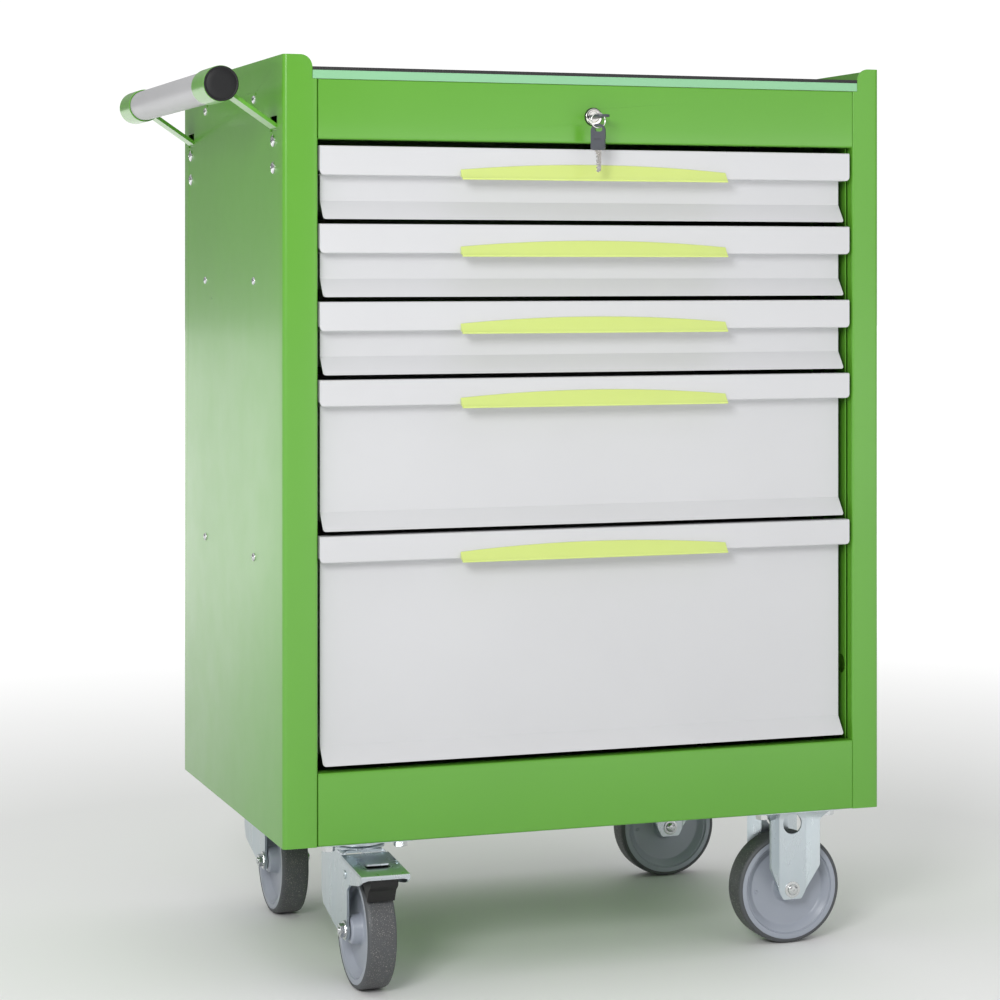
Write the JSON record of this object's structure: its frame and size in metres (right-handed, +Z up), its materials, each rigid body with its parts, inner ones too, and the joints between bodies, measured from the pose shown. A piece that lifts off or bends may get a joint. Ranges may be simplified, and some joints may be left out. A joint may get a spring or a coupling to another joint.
{
  "type": "tool cart",
  "caption": "Wheeled tool cart: folded steel cabinet with telescopic drawers, lock, side push handle and rolling casters.",
  "frame": {"origin": "centre of the bounding box, on the floor that the wheels stand on", "axes": "+Z up, +X to the right side as seen from the drawers (the handle is on the -X side), +Y towards the back, drawers open towards -Y"},
  "size_m": [0.7736, 0.538, 0.986],
  "materials": {
    "green_paint": "glossy powder coat with fine orange peel",
    "drawer_paint": "satin powder coat",
    "pull_plastic": "satin moulded",
    "edge_trim": "gloss",
    "worktop_board": "raw board with sealed edges",
    "mat_rubber": "ribbed matte",
    "runner_steel": "bright zinc plated",
    "lock_chrome": "bright nickel plated",
    "key_plastic": "satin moulded, with a nickel blade",
    "ring_steel": "bright wire",
    "grip_plastic": "satin moulded",
    "cap_plastic": "matte moulded",
    "zinc_fasteners": "bright zinc plated",
    "zinc_steel": "blue passivated zinc plate",
    "hub_plastic": "satin moulded",
    "tyre_rubber": "matte, worn tread"
  },
  "bodies": {
    "cabinet": {"left_side_panel": "green_paint", "right_side_panel": "green_paint", "back_panel": "green_paint", "floor_panel": "green_paint", "base_front_rail": "green_paint", "top_front_rail": "green_paint", "worktop_board": "worktop_board", "worktop_edge_trim": "edge_trim", "worktop_mat": "mat_rubber", "runner_posts": "green_paint", "cabinet_runners": "runner_steel", "lock_barrel": "lock_chrome", "handle_arms": "green_paint", "handle_collars": "green_paint", "handle_grip": "grip_plastic", "handle_end_caps": "cap_plastic", "handle_bolts": "zinc_fasteners", "panel_screws": "zinc_fasteners", "caster_bolts": "zinc_fasteners", "fixed_caster_forks": "zinc_steel", "fixed_caster_axles": "zinc_fasteners", "swivel_plates": "zinc_steel"},
    "lock_core": {"lock_plug": "lock_chrome", "lock_key": "key_plastic"},
    "key_ring": {"key_ring": "ring_steel"},
    "spare_key": {"spare_key": "key_plastic"},
    "drawer_1": {"drawer_1_box": "drawer_paint", "drawer_1_pull": "pull_plastic", "drawer_1_slide": "runner_steel"},
    "runner_1": {"runner_1_middle": "runner_steel"},
    "drawer_2": {"drawer_2_box": "drawer_paint", "drawer_2_pull": "pull_plastic", "drawer_2_slide": "runner_steel"},
    "runner_2": {"runner_2_middle": "runner_steel"},
    "drawer_3": {"drawer_3_box": "drawer_paint", "drawer_3_pull": "pull_plastic", "drawer_3_slide": "runner_steel"},
    "runner_3": {"runner_3_middle": "runner_steel"},
    "drawer_4": {"drawer_4_box": "drawer_paint", "drawer_4_pull": "pull_plastic", "drawer_4_slide": "runner_steel"},
    "runner_4": {"runner_4_middle": "runner_steel"},
    "drawer_5": {"drawer_5_box": "drawer_paint", "drawer_5_pull": "pull_plastic", "drawer_5_slide": "runner_steel"},
    "runner_5": {"runner_5_middle": "runner_steel"},
    "swivel_front": {"swivel_fork_front": "zinc_steel", "swivel_axle_front": "zinc_fasteners"},
    "brake_front": {"brake_pedal_front": "zinc_steel"},
    "swivel_rear": {"swivel_fork_rear": "zinc_steel", "swivel_axle_rear": "zinc_fasteners"},
    "brake_rear": {"brake_pedal_rear": "zinc_steel"},
    "wheel_front_left": {"hub_front_left": "hub_plastic", "tyre_front_left": "tyre_rubber"},
    "wheel_rear_left": {"hub_rear_left": "hub_plastic", "tyre_rear_left": "tyre_rubber"},
    "wheel_front_right": {"hub_front_right": "hub_plastic", "tyre_front_right": "tyre_rubber"},
    "wheel_rear_right": {"hub_rear_right": "hub_plastic", "tyre_rear_right": "tyre_rubber"}
  },
  "joints": [
    {"name": "drawer_1_pull_out", "type": "slide", "parent": "cabinet", "child": "drawer_1", "axis": [0, -1, 0], "range_m": [0, 0.38]},
    {"name": "runner_1_extend", "type": "slide", "parent": "cabinet", "child": "runner_1", "axis": [0, -1, 0], "range_m": [0, 0.19]},
    {"name": "drawer_2_pull_out", "type": "slide", "parent": "cabinet", "child": "drawer_2", "axis": [0, -1, 0], "range_m": [0, 0.38]},
    {"name": "runner_2_extend", "type": "slide", "parent": "cabinet", "child": "runner_2", "axis": [0, -1, 0], "range_m": [0, 0.19]},
    {"name": "drawer_3_pull_out", "type": "slide", "parent": "cabinet", "child": "drawer_3", "axis": [0, -1, 0], "range_m": [0, 0.38]},
    {"name": "runner_3_extend", "type": "slide", "parent": "cabinet", "child": "runner_3", "axis": [0, -1, 0], "range_m": [0, 0.19]},
    {"name": "drawer_4_pull_out", "type": "slide", "parent": "cabinet", "child": "drawer_4", "axis": [0, -1, 0], "range_m": [0, 0.38]},
    {"name": "runner_4_extend", "type": "slide", "parent": "cabinet", "child": "runner_4", "axis": [0, -1, 0], "range_m": [0, 0.19]},
    {"name": "drawer_5_pull_out", "type": "slide", "parent": "cabinet", "child": "drawer_5", "axis": [0, -1, 0], "range_m": [0, 0.38]},
    {"name": "runner_5_extend", "type": "slide", "parent": "cabinet", "child": "runner_5", "axis": [0, -1, 0], "range_m": [0, 0.19]},
    {"name": "swivel_front_turn", "type": "hinge", "parent": "cabinet", "child": "swivel_front", "pos_m": [-0.20975, -0.155, 0.0625], "axis": [0, 0, 1], "continuous": true},
    {"name": "brake_front_press", "type": "hinge", "parent": "swivel_front", "child": "brake_front", "pos_m": [-0.20975, -0.201, 0.123], "axis": [1, 0, 0], "range_deg": [0, 6]},
    {"name": "swivel_rear_turn", "type": "hinge", "parent": "cabinet", "child": "swivel_rear", "pos_m": [-0.20975, 0.201, 0.0625], "axis": [0, 0, 1], "continuous": true},
    {"name": "brake_rear_press", "type": "hinge", "parent": "swivel_rear", "child": "brake_rear", "pos_m": [-0.20975, 0.155, 0.123], "axis": [1, 0, 0], "range_deg": [0, 6]},
    {"name": "wheel_front_left_spin", "type": "hinge", "parent": "swivel_front", "child": "wheel_front_left", "pos_m": [-0.20975, -0.193, 0.0625], "axis": [1, 0, 0], "continuous": true},
    {"name": "wheel_rear_left_spin", "type": "hinge", "parent": "swivel_rear", "child": "wheel_rear_left", "pos_m": [-0.20975, 0.163, 0.0625], "axis": [1, 0, 0], "continuous": true},
    {"name": "wheel_front_right_spin", "type": "hinge", "parent": "cabinet", "child": "wheel_front_right", "pos_m": [0.29325, -0.155, 0.0625], "axis": [0, 1, 0], "continuous": true},
    {"name": "wheel_rear_right_spin", "type": "hinge", "parent": "cabinet", "child": "wheel_rear_right", "pos_m": [0.29325, 0.201, 0.0625], "axis": [0, 1, 0], "continuous": true},
    {"name": "lock_turn", "type": "hinge", "parent": "cabinet", "child": "lock_core", "pos_m": [0.04025, -0.212, 0.9263], "axis": [0, -1, 0], "range_deg": [0, 90]},
    {"name": "key_ring_hang", "type": "hinge", "parent": "lock_core", "child": "key_ring", "pos_m": [0.04025, -0.2404, 0.9263], "axis": [0, -1, 0], "range_deg": [-90, 0]},
    {"name": "spare_key_swing", "type": "hinge", "parent": "key_ring", "child": "spare_key", "pos_m": [0.03505, -0.2404, 0.9131], "axis": [-1, 0, 0], "range_deg": [0, 30]}
  ],
  "couplings": [
    {"joint": "runner_1_extend", "follows": "drawer_1_pull_out", "ratio": 0.5},
    {"joint": "runner_2_extend", "follows": "drawer_2_pull_out", "ratio": 0.5},
    {"joint": "runner_3_extend", "follows": "drawer_3_pull_out", "ratio": 0.5},
    {"joint": "runner_4_extend", "follows": "drawer_4_pull_out", "ratio": 0.5},
    {"joint": "runner_5_extend", "follows": "drawer_5_pull_out", "ratio": 0.5},
    {"joint": "key_ring_hang", "follows": "lock_turn", "ratio": -1}
  ]
}
